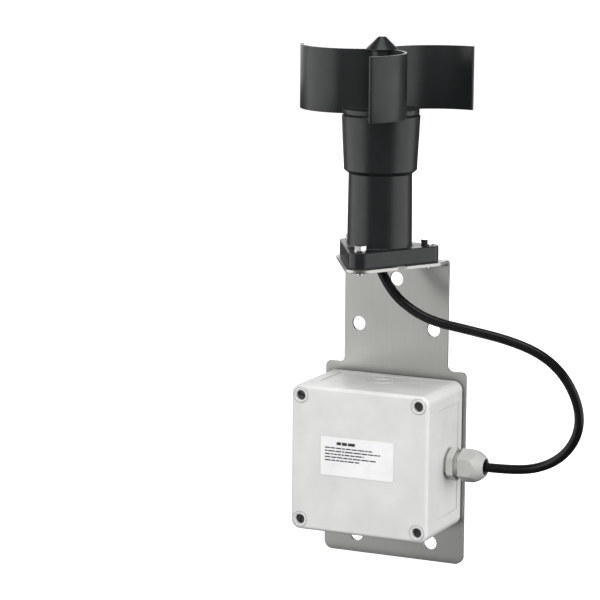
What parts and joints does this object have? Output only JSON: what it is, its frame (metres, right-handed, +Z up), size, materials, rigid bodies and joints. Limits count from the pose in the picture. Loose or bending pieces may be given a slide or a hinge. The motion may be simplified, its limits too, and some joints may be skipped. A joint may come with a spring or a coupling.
{
  "type": "three-vane cup anemometer on a wall bracket",
  "caption": "Cup anemometer: a vane rotor spins on a post over a bent steel wall bracket, wired through a gland into a square junction box.",
  "frame": {"origin": "centre of the rectangle of four wall holes, on the bracket's back face", "axes": "+Z up along the rotor's spin axis direction, +Y into the wall, +X to the right seen from the front, towards the gland"},
  "size_m": [0.2001, 0.1089, 0.3397],
  "materials": {
    "sensor_plastic": "satin moulded, dark slate grey",
    "stainless_sheet": "satin brushed stainless sheet",
    "box_plastic": "satin moulded, light grey",
    "gland_plastic": "satin moulded, mid grey",
    "bright_steel": "bright zinc or stainless",
    "dark_steel": "dull steel in a recess",
    "ground_steel": "ground bearing steel",
    "black_rubber": "matt moulded rubber",
    "grey_rubber": "matt moulded rubber",
    "cable_jacket": "satin black jacket",
    "name_plate_film": "white film",
    "circuit_board": "green solder mask",
    "black_plastic": "moulded black",
    "green_plastic": "moulded green",
    "nickel": "nickel plate",
    "cell_sleeve": "printed sleeve, plain",
    "core_insulation": "thin coloured insulation"
  },
  "bodies": {
    "root": {"battery_cell": "cell_sleeve", "board_screws": "bright_steel", "box_base": "box_plastic", "box_cores": "core_insulation", "box_fixings": "bright_steel", "box_lid": "box_plastic", "bracket": "stainless_sheet", "cable_bush": "black_rubber", "cable_end": "cable_jacket", "cell_contacts": "nickel", "cell_holder": "black_plastic", "foot_screws": "bright_steel", "foot_washers": "bright_steel", "gland_body": "gland_plastic", "gland_locknut": "gland_plastic", "gland_nut": "gland_plastic", "gland_seal": "black_rubber", "gland_washer": "grey_rubber", "hall_sensor": "black_plastic", "head_housing": "sensor_plastic", "head_oring": "black_rubber", "lid_gasket": "black_rubber", "lid_screws": "dark_steel", "lower_bearing_balls": "ground_steel", "lower_bearing_outer": "ground_steel", "name_plate": "name_plate_film", "pulse_board": "circuit_board", "radio_antenna": "nickel", "radio_module": "nickel", "sensor_cable": "cable_jacket", "sensor_cores": "core_insulation", "sensor_gasket": "black_rubber", "sensor_tube": "sensor_plastic", "terminal_block": "green_plastic", "terminal_screws": "nickel", "transmitter_board": "circuit_board", "upper_bearing_balls": "ground_steel", "upper_bearing_outer": "ground_steel"},
    "rotor": {"vane_rotor": "sensor_plastic", "rotor_cone": "sensor_plastic", "rotor_shaft": "ground_steel", "upper_bearing_inner": "ground_steel", "lower_bearing_inner": "ground_steel", "bearing_spacer": "ground_steel", "shaft_circlip": "dark_steel", "magnet_carrier": "black_plastic", "pulse_magnets": "nickel"}
  },
  "joints": [
    {"name": "rotor_spin", "type": "hinge", "parent": "root", "child": "rotor", "pos_m": [0, -0.03, 0.2], "axis": [0, 0, 1], "continuous": true}
  ]
}
